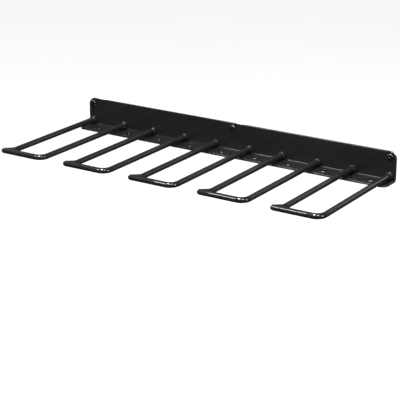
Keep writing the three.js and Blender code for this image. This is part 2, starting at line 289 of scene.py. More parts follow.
# %% Cut the holes
SHELF_HOLE_RADIUS = 5 * MM
SHELF_HOLE_Y = -18.5 * MM
SHELF_HOLE_PITCH = 54.5 * MM
LAST_SHELF_HOLE = 227 * MM
SHELF_HOLE_PLACES = [i * SHELF_HOLE_PITCH - LAST_SHELF_HOLE for i in range(8)] + [LAST_SHELF_HOLE]
HOOK_PITCH = 110 * MM
HOOK_MIDDLES = [i * HOOK_PITCH for i in (-2, -1, 0, 1, 2)]
ARM_OFFSET = 28.25 * MM
SIDES = {"left": -ARM_OFFSET, "right": ARM_OFFSET}
WALL_SCREW_PLACES = {"left": -248 * MM, "middle": 0.0, "right": 248 * MM}
WALL_SCREW_Z = 14 * MM
WALL_HOLE_RADIUS = 2.6 * MM


def joined(pieces):
    """Joins several objects into the first one."""
    only(pieces[0])
    for piece in pieces[1:]:
        piece.select_set(True)
    if len(pieces) > 1:
        bpy.ops.object.join()
    return pieces[0]


def cut(piece, cutters):
    """Takes the cutters out of a piece, and throws them away."""
    cutter = joined(cutters)
    settle(cutter)
    modify(piece, "BOOLEAN", operation="DIFFERENCE", object=cutter, solver="EXACT")
    bpy.data.objects.remove(cutter)


cutters = []
for x in SHELF_HOLE_PLACES:
    cutters.append(round_bar(SHELF_HOLE_RADIUS, CUTTER_LENGTH, (x, SHELF_HOLE_Y, BOTTOM)))
for x in WALL_SCREW_PLACES.values():
    cutters.append(round_bar(WALL_HOLE_RADIUS, CUTTER_LENGTH, (x, 0, WALL_SCREW_Z), AROUND_Y))
for hook_middle in HOOK_MIDDLES:
    for offset in SIDES.values():
        cutters.append(countersink(hook_middle + offset))
print("cutters:", len(cutters))
cut(plate, cutters)
report(plate)

# %% [markdown]
# The rims of the holes get a small bevel of their own. After that the shading must know which faces are
# flat. With plain smooth shading a large flat face next to a narrow round one would look bent. The
# Weighted Normal modifier lets the larger faces decide, and Set Normals From Faces settles the places
# where the long strips of the fold are larger than the piece of flat sheet beside them. Then the sheet
# reflects like a flat pane, and only its round edges curve.

# %% Soften the rims and shade the sheet
RIM_RADIUS = 0.25 * MM
SMALLEST_PANE = 5 * MM * MM
# How near a normal lies to an axis, where 1 is along it, for its face to count as square to the axis
SQUARE = 0.99999


def soften(piece, radius, angle=35, segments=3):
    """Rounds all edges sharper than the angle, and shades the piece smooth with its large faces kept flat."""
    round_edges(piece, radius, angle, segments)
    only(piece)
    bpy.ops.object.shade_smooth()
    modify(piece, "WEIGHTED_NORMAL", weight=100, keep_sharp=False)


def keep_flat(piece, smallest_area):
    """Makes the faces that lie square to an axis reflect like a flat pane right up to their edges."""
    only(piece)
    bpy.ops.object.mode_set(mode="EDIT")
    flat = choose(
        "FACE", lambda face: face.calc_area() > smallest_area and max(map(abs, face.normal)) > SQUARE
    )
    bpy.ops.mesh.set_normals_from_faces(keep_sharp=False)
    bpy.ops.object.mode_set(mode="OBJECT")
    print(piece.name, "faces kept flat:", flat)


soften(plate, RIM_RADIUS, segments=2)
keep_flat(plate, SMALLEST_PANE)
report(plate)

# %% [markdown]
# The hooks
#
# Each hook is steel rod, 8 mm thick. One rod runs out from the plate, bends round and comes back across
# as the front bar. It passes the left arm and ends in a short ear, and the arm is swept out along it and
# welded on. A rod is a circle that travels, so it is made by extruding a ring along the straight runs and
# by spinning it round the bends. The bend then has the true radius of the bending die.

# %% Pull a rod out of a ring
ROD_RADIUS = 4 * MM
BEND_RADIUS = 12 * MM
RING_SIDES = 40
DOME_STEPS = 6


def start_ring(name, radius, place, sides=RING_SIDES):
    """A ring square to the Y axis, in edit mode and selected, from which a rod or a turned part is pulled."""
    bpy.ops.object.select_all(action="DESELECT")
    bpy.ops.mesh.primitive_circle_add(
        vertices=sides, radius=radius, fill_type="NOTHING", location=place, rotation=AROUND_Y
    )
    ring = bpy.context.object
    ring.name = name
    settle(ring)
    bpy.ops.object.mode_set(mode="EDIT")
    bpy.ops.mesh.select_mode(type="EDGE")
    bpy.ops.mesh.select_all(action="SELECT")
    return ring


def bend(centre_x, centre_y, angle, steps):
    """Spins the selected ring round an upright axis, to the right of the way it runs."""
    bpy.ops.mesh.spin(steps=steps, angle=angle, center=(centre_x, centre_y, HOOK_Z), axis=(0, 0, 1))


def dome_end(place):
    """Closes a rod that runs towards -X with half a ball, whose axis goes through the place."""
    for step in range(1, DOME_STEPS):
        before = math.pi / 2 * (step - 1) / DOME_STEPS
        now = math.pi / 2 * step / DOME_STEPS
        push(x=-ROD_RADIUS * (math.sin(now) - math.sin(before)))
        shrink = math.cos(now) / math.cos(before)
        widen((1, shrink, shrink), place)
    push(x=-ROD_RADIUS * (1 - math.sin(now)))
    bpy.ops.mesh.merge(type="CENTER")


print("inner radius of the bend in mm:", round((BEND_RADIUS - ROD_RADIUS) / MM, 1))

# %% Bend the long rod
SEAT_Y = -3.05 * MM
FRONT_Y = -199 * MM
BEND_STEPS = 14
EAR_LENGTH = 11 * MM

right_x = HOOK_MIDDLES[0] + ARM_OFFSET
left_x = HOOK_MIDDLES[0] - ARM_OFFSET
tip_x = left_x - EAR_LENGTH
hook = start_ring("hook_rod_1", ROD_RADIUS, (right_x, SEAT_Y, HOOK_Z))
push(y=FRONT_Y + BEND_RADIUS - SEAT_Y)
bend(right_x - BEND_RADIUS, FRONT_Y + BEND_RADIUS, math.pi / 2, BEND_STEPS)
push(x=tip_x - right_x + BEND_RADIUS)
dome_end((tip_x, FRONT_Y, HOOK_Z))
bpy.ops.object.mode_set(mode="OBJECT")
print("vertices in the long rod:", len(hook.data.vertices))

# %% [markdown]
# The left arm is shorter. Near its end it leans outwards and runs into the bar's tip. It gets a trace
# thinner there, so that the two surfaces cross cleanly when a Boolean union welds them into one.

# %% Bend the left arm and close the root ends
EAR_DEPTH = 8 * MM
EAR_BEND_RADIUS = 8 * MM
EAR_BEND_STEPS = 8
# As a share of the rod's own size
ARM_END_SIZE = 0.97
lean = math.atan2(EAR_LENGTH, EAR_DEPTH)
bend_run = EAR_BEND_RADIUS * math.tan(lean / 2)
bend_start = FRONT_Y + EAR_DEPTH + bend_run
lean_run = math.hypot(EAR_LENGTH, EAR_DEPTH) - bend_run

arm = start_ring("left_arm", ROD_RADIUS, (left_x, SEAT_Y, HOOK_Z))
push(y=bend_start - SEAT_Y)
bend(left_x - EAR_BEND_RADIUS, bend_start, lean, EAR_BEND_STEPS)
push(x=-lean_run * math.sin(lean), y=-lean_run * math.cos(lean))
widen((ARM_END_SIZE,) * 3, (tip_x, FRONT_Y, HOOK_Z))
bpy.ops.mesh.edge_face_add()
bpy.ops.object.mode_set(mode="OBJECT")

for rod in (hook, arm):
    only(rod)
    bpy.ops.object.mode_set(mode="EDIT")
    choose("EDGE", lambda edge: abs(middle(edge).y - SEAT_Y) < NEAR)
    bpy.ops.mesh.edge_face_add()
    bpy.ops.object.mode_set(mode="OBJECT")
    close_up(rod)
    report(rod)

# %% [markdown]
# The weld is a small rounded bead in the crease between the two rods. The union leaves that crease as a
# sharp inner edge, and a bevel on an inner edge adds material instead of taking it, which is just what a
# weld does. So the inner edges near the ear are found by their angle and bevelled.

# %% Weld the arm to the bar
WELD_WIDTH = 1.0 * MM
SEAM_ANGLE = 20
SEAM_MARGIN = 2 * MM


def is_seam(edge):
    """True on the inner crease where the arm meets the bar."""
    if middle(edge).y > bend_start + SEAM_MARGIN or len(edge.link_faces) != 2:
        return False
    return not edge.is_convex and edge.calc_face_angle() > math.radians(SEAM_ANGLE)


modify(hook, "BOOLEAN", operation="UNION", object=arm, solver="EXACT")
bpy.data.objects.remove(arm)
only(hook)
bpy.ops.object.mode_set(mode="EDIT")
seam = choose("EDGE", is_seam)
bpy.ops.mesh.bevel(offset=WELD_WIDTH, segments=3, affect="EDGES", clamp_overlap=True)
bpy.ops.object.mode_set(mode="OBJECT")
print("edges in the weld's seam:", seam)
report(hook)

# %% [markdown]
# Each rod end is bored and tapped for the screw that comes through the plate. The end face is inset to
# the size of the bore and pushed into the rod, and a last narrowing push makes the conical bottom that
# the bore has.

# %% Bore the rod ends
BORE_RADIUS = 2.6 * MM
BORE_DEPTH = 15 * MM
# As a share of the bore's own size
BORE_POINT_SIZE = 0.04
SMOOTH_ANGLE = 38


def smooth(piece, angle=SMOOTH_ANGLE):
    """Shades a piece smooth, but not over edges sharper than the angle."""
    only(piece)
    bpy.ops.object.shade_smooth_by_angle(angle=math.radians(angle))


def is_root_end(face, arm_x):
    """True for the end face of the arm at a place along the rack."""
    return abs(middle(face).y - SEAT_Y) < NEAR and abs(middle(face).x - arm_x) < ROD_RADIUS


only(hook)
for arm_x in (left_x, right_x):
    bpy.ops.object.mode_set(mode="EDIT")
    choose("FACE", lambda face: is_root_end(face, arm_x))
    bpy.ops.mesh.inset(thickness=ROD_RADIUS - BORE_RADIUS)
    push(y=-BORE_DEPTH)
    push(y=-BORE_RADIUS / 2)
    widen((BORE_POINT_SIZE, 1, BORE_POINT_SIZE), (arm_x, 0, HOOK_Z))
    bpy.ops.object.mode_set(mode="OBJECT")
smooth(hook)
report(hook)

# %% [markdown]
# One hook is enough. The other four are copies, each moved along by the spacing and given its own mesh,
# with the place applied, so that a pattern in the paint doesn't repeat from hook to hook.

# %% Copy the hook
def copied(piece, name, x):
    """A copy of a piece with its own mesh, moved along the rack."""
    only(piece)
    bpy.ops.object.duplicate(linked=False)
    twin = bpy.context.object
    twin.name = name
    twin.location.x = x
    settle(twin)
    return twin


hooks = [hook]
for number, hook_middle in enumerate(HOOK_MIDDLES[1:], 2):
    hooks.append(copied(hook, f"hook_rod_{number}", hook_middle - HOOK_MIDDLES[0]))
print("hooks:", [piece.name for piece in hooks])

# %% [markdown]
# The collars
#
# A short ring sits round each rod where it meets the plate. It hides the joint and gives the rod a wider
# foot. It is a turned part, so it is pulled out of a ring: along the outside, across the face, back down
# the bore, and bridged at the foot. The outer front edge is rounded well, and that curve catches a small
# bright point of light.

# %% Turn a collar
COLLAR_RADIUS = 5.5 * MM
COLLAR_LENGTH = 5.2 * MM
COLLAR_BORE = 4.15 * MM
COLLAR_OUTER_BEVEL = 1.1 * MM
COLLAR_INNER_BEVEL = 0.3 * MM
RADIUS_MARGIN = 0.1 * MM


def radius_from(part, x, z):
    """How far the middle of a part lies from an axis along Y."""
    return math.hypot(middle(part).x - x, middle(part).z - z)


def on_rim(edge, x, z, radius, y):
    """True for the edges of one ring of a turned part."""
    return abs(middle(edge).y - y) < NEAR and abs(radius_from(edge, x, z) - radius) < RADIUS_MARGIN


collar_front = SEAT_Y - COLLAR_LENGTH
collar = start_ring("collar_1_left", COLLAR_RADIUS, (left_x, SEAT_Y, HOOK_Z), ROUND_SIDES)
push(y=-COLLAR_LENGTH)
push()
widen((COLLAR_BORE / COLLAR_RADIUS, 1, COLLAR_BORE / COLLAR_RADIUS), (left_x, collar_front, HOOK_Z))
push(y=COLLAR_LENGTH)
choose("EDGE", lambda edge: abs(middle(edge).y - SEAT_Y) < NEAR)
bpy.ops.mesh.bridge_edge_loops()
choose("EDGE", lambda edge: on_rim(edge, left_x, HOOK_Z, COLLAR_RADIUS, collar_front))
bpy.ops.mesh.bevel(offset=COLLAR_OUTER_BEVEL, segments=5, affect="EDGES")
choose("EDGE", lambda edge: on_rim(edge, left_x, HOOK_Z, COLLAR_BORE, collar_front))
bpy.ops.mesh.bevel(offset=COLLAR_INNER_BEVEL, segments=2, affect="EDGES")
bpy.ops.object.mode_set(mode="OBJECT")
close_up(collar)
smooth(collar)
report(collar)

# %% [markdown]
# Ten rod ends need ten collars. A copy could share its mesh with the first one, but then the paint would
# be the same on all of them, so each gets a mesh of its own. The names follow the CAD model, which knows
# each ring by its hook and its side.

# %% Copy it to every rod end
def for_each_arm(piece, kind):
    """The first piece and its copies, one at each rod end, by the names of their CAD nodes."""
    placed = {}
    for number, hook_middle in enumerate(HOOK_MIDDLES, 1):
        for side, offset in SIDES.items():
            x = hook_middle + offset
            is_first = number == 1 and side == "left"
            twin = piece if is_first else copied(piece, f"{kind}_{number}_{side}", x - left_x)
            placed[f"hook_{number}_{side}_{kind}"] = twin
    return placed


collars = for_each_arm(collar, "collar")
print("collars:", len(collars))

# %% [markdown]
# The hook screws
#
# A countersunk screw holds each rod end. Only its head shows, from behind the plate, but the whole screw
# is made, with its thread. The body is turned: the shank is pulled out of a ring, and the head is the
# same ring pushed on and widened into a cone. The hexagon socket is cut with a six-sided bar.

# %% Draw the screw's profile
HEAD_RADIUS = 4.6 * MM
HEAD_BACK = -0.3 * MM
HOOK_SCREW_TIP = -16 * MM
THREAD_CORE = 2.05 * MM
THREAD_RADIUS = 2.5 * MM
TIP_CHAMFER = 0.5 * MM
HEAD_RIM = 0.15 * MM
NECK_START = -3.0 * MM
NECK_END = -2.6 * MM

profile = [
    (THREAD_CORE - TIP_CHAMFER, HOOK_SCREW_TIP),
    (THREAD_CORE, HOOK_SCREW_TIP + TIP_CHAMFER),
    (THREAD_CORE, NECK_START),
    (THREAD_RADIUS, NECK_END),
    (THREAD_RADIUS, HEAD_BACK - HEAD_RIM - (HEAD_RADIUS - THREAD_RADIUS)),
    (HEAD_RADIUS, HEAD_BACK - HEAD_RIM),
    (HEAD_RADIUS, HEAD_BACK),
]
print("length of a hook screw in mm:", round((HEAD_BACK - HOOK_SCREW_TIP) / MM, 1))

# %% Turn a countersunk screw
SCREW_SIDES = 36
SOCKET_ACROSS_FLATS = 3 * MM
SOCKET_DEPTH = 1.6 * MM
SOCKET_CUTTER = 4 * MM
HEX_SIDES = 6
SCREW_EDGE = 0.12 * MM


def turn_profile(profile, x, z):
    """Pulls the selected ring through a list of (radius, y) stations, round an axis along Y."""
    for (radius, y), (new_radius, new_y) in zip(profile, profile[1:]):
        push(y=new_y - y)
        widen((new_radius / radius, 1, new_radius / radius), (x, new_y, z))


def cap(y):
    """Closes the open ring at a height with one face."""
    choose("EDGE", lambda edge: edge.is_boundary and abs(middle(edge).y - y) < NEAR)
    bpy.ops.mesh.edge_face_add()


hook_screw = start_ring("hook_screw_1_left", profile[0][0], (left_x, profile[0][1], HOOK_Z), SCREW_SIDES)
turn_profile(profile, left_x, HOOK_Z)
cap(HOOK_SCREW_TIP)
cap(HEAD_BACK)
bpy.ops.object.mode_set(mode="OBJECT")
close_up(hook_screw)
socket_place = (left_x, HEAD_BACK - SOCKET_DEPTH + SOCKET_CUTTER / 2, HOOK_Z)
socket = round_bar(SOCKET_ACROSS_FLATS / math.sqrt(3), SOCKET_CUTTER, socket_place, AROUND_Y, HEX_SIDES)
cut(hook_screw, [socket])
soften(hook_screw, SCREW_EDGE, angle=32, segments=2)
report(hook_screw)

# %% [markdown]
# A thread is a ridge that climbs round the shank. The Screw modifier makes it from one triangle: it turns
# the triangle round the axis and moves it along by the pitch at each turn. Its two ends are then closed
# with a face.

# %% Roll a thread
TURN_STEPS = 20
RIDGE_SINK = 0.1 * MM
# As a share of the pitch
RIDGE_HALF_WIDTH = 0.42
RIDGE_SMOOTH_ANGLE = 30


def thread(x, z, core, radius, start_y, length, pitch):
    """A helical ridge round an axis along Y, from one y towards +Y."""
    bpy.ops.object.select_all(action="DESELECT")
    bpy.ops.mesh.primitive_circle_add(vertices=3, radius=pitch / 2, fill_type="NOTHING")
    ridge = bpy.context.object
    ridge.name = "thread_ridge"
    foot = core - RIDGE_SINK
    half = pitch * RIDGE_HALF_WIDTH
    for vertex, place in zip(ridge.data.vertices, ((foot, 0, -half), (radius, 0, 0), (foot, 0, half))):
        vertex.co = place
    modify(
        ridge, "SCREW", axis="Z", angle=2 * math.pi, screw_offset=pitch, iterations=round(length / pitch),
        steps=TURN_STEPS, render_steps=TURN_STEPS, use_merge_vertices=False,
    )
    ridge.rotation_euler = (-math.pi / 2, 0, 0)
    ridge.location = (x, start_y, z)
    settle(ridge)
    bpy.ops.object.mode_set(mode="EDIT")
    bpy.ops.mesh.select_all(action="SELECT")
    bpy.ops.mesh.fill_holes(sides=0)
    bpy.ops.object.mode_set(mode="OBJECT")
    close_up(ridge)
    smooth(ridge, RIDGE_SMOOTH_ANGLE)
    return ridge


print("degrees in one step of a turn:", 360 / TURN_STEPS)

# %% Thread the hook screws
THREAD_START = HOOK_SCREW_TIP + 0.9 * MM
THREAD_LENGTH = 11.6 * MM
THREAD_PITCH = 0.8 * MM

ridge = thread(left_x, HOOK_Z, THREAD_CORE, THREAD_RADIUS, THREAD_START, THREAD_LENGTH, THREAD_PITCH)
report(ridge)
hook_screw = joined([hook_screw, ridge])
report(hook_screw)
hook_screws = for_each_arm(hook_screw, "screw")
print("hook screws:", len(hook_screws))

# %% [markdown]
# The wall screws
#
# Black pan-head screws with a cross recess hold the rack up. The head is a low dome, which a wide bevel
# with many steps gives to a plain disc. A dome could be half of a flattened ball too, but a pan head is
# flatter in the middle and rounder at the rim, and that is what a wide bevel makes. It is pulled out of a
# ring with its shank.

# %% Turn a wall screw
PAN_RADIUS = 4.75 * MM
PAN_HEIGHT = 3 * MM
WALL_CORE = 1.55 * MM
WALL_TIP = 24.7 * MM
PAN_FOOT = SEAT_Y
PAN_FRONT = PAN_FOOT - PAN_HEIGHT
PAN_BEVEL = 2.1 * MM
PLAIN_SHANK_RADIUS = 2.05 * MM
PLAIN_SHANK_END = 4 * MM
CORE_START = 4.6 * MM
POINT_LENGTH = 5 * MM
POINT_RADIUS = 0.1 * MM
screw_x = WALL_SCREW_PLACES["left"]

profile = [
    (PAN_RADIUS, PAN_FRONT),
    (PAN_RADIUS, PAN_FOOT),
    (PLAIN_SHANK_RADIUS, PAN_FOOT),
    (PLAIN_SHANK_RADIUS, PLAIN_SHANK_END),
    (WALL_CORE, CORE_START),
    (WALL_CORE, WALL_TIP - POINT_LENGTH),
    (POINT_RADIUS, WALL_TIP),
]
wall_screw = start_ring("wall_screw_left_turned", profile[0][0], (screw_x, profile[0][1], WALL_SCREW_Z))
turn_profile(profile, screw_x, WALL_SCREW_Z)
cap(PAN_FRONT)
cap(WALL_TIP)
choose("EDGE", lambda edge: on_rim(edge, screw_x, WALL_SCREW_Z, PAN_RADIUS, PAN_FRONT))
bpy.ops.mesh.bevel(offset=PAN_BEVEL, segments=7, affect="EDGES")
bpy.ops.object.mode_set(mode="OBJECT")
close_up(wall_screw)
report(wall_screw)

# %% [markdown]
# The recess in the head is pressed cold by a cross-shaped punch. It is two crossed slots that get
# narrower towards the bottom, so each cutter is a block whose inner end is made smaller, and the second
# one is the same block turned by a quarter. The thread is coarse, as on any screw that goes into a
# plastic sleeve.

# %% Press the cross recess
RECESS_DEPTH = 1.8 * MM
BLADE_LENGTH = 5 * MM
BLADE_WIDTH = 1.1 * MM
BLADE_TAPER = (0.45, 1, 0.7)
BLADE_OVERSHOOT = 1 * MM


def block(size, place):
    """A plain block, to cut with or to shape further."""
    bpy.ops.object.select_all(action="DESELECT")
    bpy.ops.mesh.primitive_cube_add(size=1, location=place)
    cube = bpy.context.object
    cube.scale = size
    settle(cube)
    return cube


def blade(turn):
    """One of the two blades of the punch, narrower at its inner end."""
    depth = RECESS_DEPTH + BLADE_OVERSHOOT
    place = (screw_x, PAN_FRONT - BLADE_OVERSHOOT + depth / 2, WALL_SCREW_Z)
    body = block((BLADE_LENGTH, depth, BLADE_WIDTH), place)
    bpy.ops.object.mode_set(mode="EDIT")
    choose("FACE", faces_back)
    widen(BLADE_TAPER, (screw_x, 0, WALL_SCREW_Z))
    bpy.ops.mesh.select_all(action="SELECT")
    centre = (screw_x, PAN_FRONT, WALL_SCREW_Z)
    bpy.ops.transform.rotate(value=turn, orient_axis="Y", center_override=centre)
    bpy.ops.object.mode_set(mode="OBJECT")
    return body


for turn in (0, math.pi / 2):
    cut(wall_screw, [blade(turn)])
soften(wall_screw, SCREW_EDGE, angle=40, segments=2)
report(wall_screw)

# %% Thread the wall screw
WALL_THREAD_RADIUS = 2.25 * MM
WALL_THREAD_START = 5 * MM
WALL_THREAD_LENGTH = 14.4 * MM
WALL_THREAD_PITCH = 1.8 * MM

ridge = thread(
    screw_x, WALL_SCREW_Z, WALL_CORE, WALL_THREAD_RADIUS, WALL_THREAD_START, WALL_THREAD_LENGTH,
    WALL_THREAD_PITCH,
)
wall_screw = joined([wall_screw, ridge])
report(wall_screw)

# %% [markdown]
# The rack hangs on three of them: one near each end and one in the middle. The first one was made at the
# left end, so the others are copies of it, moved along the plate.

# %% Copy it to its three places
def for_each_wall_screw(piece, kind):
    """The first piece and its copies, one at each wall screw's place, by the name of the CAD node."""
    placed = {}
    for side, x in WALL_SCREW_PLACES.items():
        twin = piece if side == "left" else copied(piece, f"{kind}_{side}_turned", x - screw_x)
        placed[f"{kind}_{side}"] = twin
    return placed


wall_screws = for_each_wall_screw(wall_screw, "wall_screw")
print("wall screws:", len(wall_screws))

# %% [markdown]
# The wall plugs
#
# A plug is a moulded sleeve with a rim, a plain neck and a saw-toothed body that is slit so that it can
# spread. It is pulled out of a ring like the screws, outside first and then back through the bore, until
# the ring meets its start. The teeth slope one way only, so that the plug goes in easily and grips when
# it is pulled.

# %% Mould a plug
PLUG_BORE = 2.55 * MM
PLUG_RADIUS = 4 * MM
PLUG_RIM_RADIUS = 5 * MM
PLUG_TIP_RADIUS = 3.15 * MM
PLUG_MOUTH = 0.3 * MM
PLUG_RIM_END = PLUG_MOUTH + 1 * MM
PLUG_NECK_END = PLUG_MOUTH + 8 * MM
PLUG_END = PLUG_MOUTH + 30 * MM
TOOTH_COUNT = 4
TOOTH_LENGTH = 4.5 * MM
TOOTH_DEPTH = 0.7 * MM
TOOTH_STEP = 0.02 * MM

profile = [
    (PLUG_BORE, PLUG_MOUTH),
    (PLUG_RIM_RADIUS, PLUG_MOUTH),
    (PLUG_RIM_RADIUS, PLUG_RIM_END),
    (PLUG_RADIUS, PLUG_RIM_END),
    (PLUG_RADIUS, PLUG_NECK_END),
]
for tooth in range(TOOTH_COUNT):
    start = PLUG_NECK_END + tooth * TOOTH_LENGTH
    profile.append((PLUG_RADIUS - TOOTH_DEPTH, start + TOOTH_STEP))
    profile.append((PLUG_RADIUS, start + TOOTH_LENGTH))
profile += [(PLUG_TIP_RADIUS, PLUG_END), (PLUG_BORE, PLUG_END), (PLUG_BORE, PLUG_MOUTH)]
plug = start_ring("wall_plug_left_moulded", profile[0][0], (screw_x, profile[0][1], WALL_SCREW_Z))
turn_profile(profile, screw_x, WALL_SCREW_Z)
bpy.ops.object.mode_set(mode="OBJECT")
close_up(plug)
report(plug)

# %% [markdown]
# A screw that goes into the plug drives its two halves apart, so the toothed part is slit along its
# length. A thin block cuts the slit with a Boolean. Two fins on the neck keep the plug from turning in
# its hole; they are blocks whose inner ends are drawn in, joined on with a Boolean union. The sleeve and
# the fins get their round edges before they are joined, because a bevel that runs over the crease between
# them would throw out spikes.

# %% Slit the plug and add its fins
FIN_THICKNESS = 0.9 * MM
FIN_WIDTH = 1.5 * MM
FIN_LENGTH = 6.4 * MM
FIN_START = 1.2 * MM
FIN_OFFSET = 4.1 * MM
FIN_ROOT = 3.4 * MM
FIN_TAPER = (0.4, 1, 0.6)
SLIT_WIDTH = 1.4 * MM
SLIT_LENGTH = 24 * MM
SLIT_HEIGHT = 14 * MM
PLUG_EDGE = 0.15 * MM
FIN_EDGE = 0.1 * MM


def fin(side):
    """A fin on the neck that slopes down to it at its inner end."""
    place = (screw_x + side * FIN_OFFSET, FIN_START + FIN_LENGTH / 2, WALL_SCREW_Z)
    body = block((FIN_WIDTH, FIN_LENGTH, FIN_THICKNESS), place)
    bpy.ops.object.mode_set(mode="EDIT")
    choose("FACE", faces_back)
    widen(FIN_TAPER, (screw_x + side * FIN_ROOT, 0, WALL_SCREW_Z))
    bpy.ops.object.mode_set(mode="OBJECT")
    return body


slit_place = (screw_x, PLUG_NECK_END + SLIT_LENGTH / 2, WALL_SCREW_Z)
cut(plug, [block((SLIT_WIDTH, SLIT_LENGTH, SLIT_HEIGHT), slit_place)])
round_edges(plug, PLUG_EDGE, angle=32, segments=2)
for side in (-1, 1):
    body = fin(side)
    round_edges(body, FIN_EDGE, segments=2)
    modify(plug, "BOOLEAN", operation="UNION", object=body, solver="EXACT")
    bpy.data.objects.remove(body)
smooth(plug)
report(plug)
plugs = for_each_wall_screw(plug, "wall_plug")
print("plugs:", len(plugs))

# %% [markdown]
# Colours and nodes
#
# Paint charts and screens give colours in sRGB, and the render works in linear light, so one function
# turns hex values into linear ones. A second small function adds a node with its settings and its links.
# The other two start a material, and turn the real size of a grain into the scale of a noise.

# %% Helpers for materials
def colour(code, alpha=1.0):
    """An sRGB hex code as linear red, green, blue and alpha."""
    parts = [int(code[i:i + 2], 16) / 255 for i in (1, 3, 5)]
    linear = [part / 12.92 if part <= 0.04045 else ((part + 0.055) / 1.055) ** 2.4 for part in parts]
    return (*linear, alpha)


def add_node(tree, kind, inputs=None, **settings):
    """A node with its settings. An input is given a value, or a link where it is another node's output."""
    node = tree.nodes.new(kind)
    for name, value in settings.items():
        setattr(node, name, value)
    for name, value in (inputs or {}).items():
        if isinstance(value, bpy.types.NodeSocket):
            tree.links.new(value, node.inputs[name])
        else:
            node.inputs[name].default_value = value
    return node


def new_material(name, **values):
    """A material with its shader's own sockets set, its node tree, and the Object coordinates to read."""
    material = bpy.data.materials.new(name)
    material.use_nodes = True
    shader = material.node_tree.nodes["Principled BSDF"]
    for socket, value in values.items():
        shader.inputs[socket.replace("_", " ")].default_value = value
    place = add_node(material.node_tree, "ShaderNodeTexCoord")
    return material, material.node_tree, shader, place.outputs["Object"]


def scale_for(size):
    """The Scale of a noise whose grains are about a size across, in metres."""
    return 0.5 / size


print("mid grey in linear light:", [round(part, 3) for part in colour("#808080")])

# %% [markdown]
# Gloss black powder coat
#
# Powder is sprayed on dry and baked until it flows. It never levels quite flat: a slow ripple stays,
# called orange peel, a few millimetres from crest to crest, and it makes a reflected edge swim a little.
# The film is a clear binder over black pigment, so the sharp reflection lies on a wide soft one that
# lifts the black a little where much light comes in. Handling leaves it a little duller in places.

# %% Powder coat
PEEL_SIZE = 2.4 * MM
PEEL_HEIGHT = 0.006 * MM
HANDLING_SIZE = 45 * MM

coat, tree, shader, place = new_material(
    "gloss_black_powder_coat", Specular_IOR_Level=0.15, Coat_Weight=1.0, Coat_Roughness=0.04, Coat_IOR=1.5
)
peel = add_node(tree, "ShaderNodeTexNoise", {"Vector": place, "Scale": scale_for(PEEL_SIZE), "Detail": 1.0})
bump = add_node(
    tree, "ShaderNodeBump", {"Height": peel.outputs["Fac"], "Strength": 1.0, "Distance": PEEL_HEIGHT}
)
handling = add_node(
    tree, "ShaderNodeTexNoise",
    {"Vector": place, "Scale": scale_for(HANDLING_SIZE), "Detail": 3.0, "Roughness": 0.6},
)
dull = add_node(
    tree, "ShaderNodeMapRange",
    {"Value": handling.outputs["Fac"], "From Min": 0.3, "From Max": 0.7, "To Min": 0.42, "To Max": 0.54},
)
tint = add_node(tree, "ShaderNodeMix", {"Factor": handling.outputs["Fac"]}, data_type="RGBA")
tint.inputs["A"].default_value = colour("#090908")
tint.inputs["B"].default_value = colour("#0e0d0c")
tree.links.new(tint.outputs["Result"], shader.inputs["Base Color"])
tree.links.new(dull.outputs["Result"], shader.inputs["Roughness"])
tree.links.new(bump.outputs["Normal"], shader.inputs["Normal"])
tree.links.new(bump.outputs["Normal"], shader.inputs["Coat Normal"])
print("peel noise scale:", round(scale_for(PEEL_SIZE)))

# %% [markdown]
# Black oxide on the wall screws
#
# The wall screws are hardened steel, blackened in a hot salt bath. The layer is so thin that the metal
# still shows through as a dark satin sheen, a little uneven where the bath took more or less.

# %% Black oxide
BATH_SIZE = 1.5 * MM

oxide, tree, shader, place = new_material("black_oxide_steel", Metallic=1.0)
bath = add_node(tree, "ShaderNodeTexNoise", {"Vector": place, "Scale": scale_for(BATH_SIZE), "Detail": 4.0})
shade = add_node(tree, "ShaderNodeMix", {"Factor": bath.outputs["Fac"]}, data_type="RGBA")
shade.inputs["A"].default_value = colour("#3a3a3d")
shade.inputs["B"].default_value = colour("#55555a")
satin = add_node(tree, "ShaderNodeMapRange", {"Value": bath.outputs["Fac"], "To Min": 0.22, "To Max": 0.36})
tree.links.new(shade.outputs["Result"], shader.inputs["Base Color"])
tree.links.new(satin.outputs["Result"], shader.inputs["Roughness"])
print("oxide noise scale:", round(scale_for(BATH_SIZE)))

# %% [markdown]
# Zinc on the hook screws
#
# The countersunk screws are steel with electroplated zinc, the usual finish where nobody looks. It is a
# bright blue-white metal with fine grains. They are about 0.1 mm across, too fine to show, so they are
# drawn at 0.5 mm.

# %% Zinc plate
GRAIN_SIZE = 0.5 * MM
GRAIN_HEIGHT = 0.01 * MM
ZINC_CLOUD_SIZE = 3 * MM

zinc, tree, shader, place = new_material("electroplated_zinc", Metallic=1.0)
grain = add_node(tree, "ShaderNodeTexVoronoi", {"Vector": place, "Scale": 1 / GRAIN_SIZE})
cloud = add_node(
    tree, "ShaderNodeTexNoise", {"Vector": place, "Scale": scale_for(ZINC_CLOUD_SIZE), "Detail": 3.0}
)
shade = add_node(tree, "ShaderNodeMix", {"Factor": cloud.outputs["Fac"]}, data_type="RGBA")
shade.inputs["A"].default_value = colour("#b3bac2")
shade.inputs["B"].default_value = colour("#d2d4d3")
spangle = add_node(
    tree, "ShaderNodeMapRange", {"Value": grain.outputs["Distance"], "To Min": 0.24, "To Max": 0.42}
)
relief = add_node(
    tree, "ShaderNodeBump", {"Height": grain.outputs["Distance"], "Strength": 0.4, "Distance": GRAIN_HEIGHT}
)
tree.links.new(shade.outputs["Result"], shader.inputs["Base Color"])
tree.links.new(spangle.outputs["Result"], shader.inputs["Roughness"])
tree.links.new(relief.outputs["Normal"], shader.inputs["Normal"])
print("zinc grain scale:", round(1 / GRAIN_SIZE))

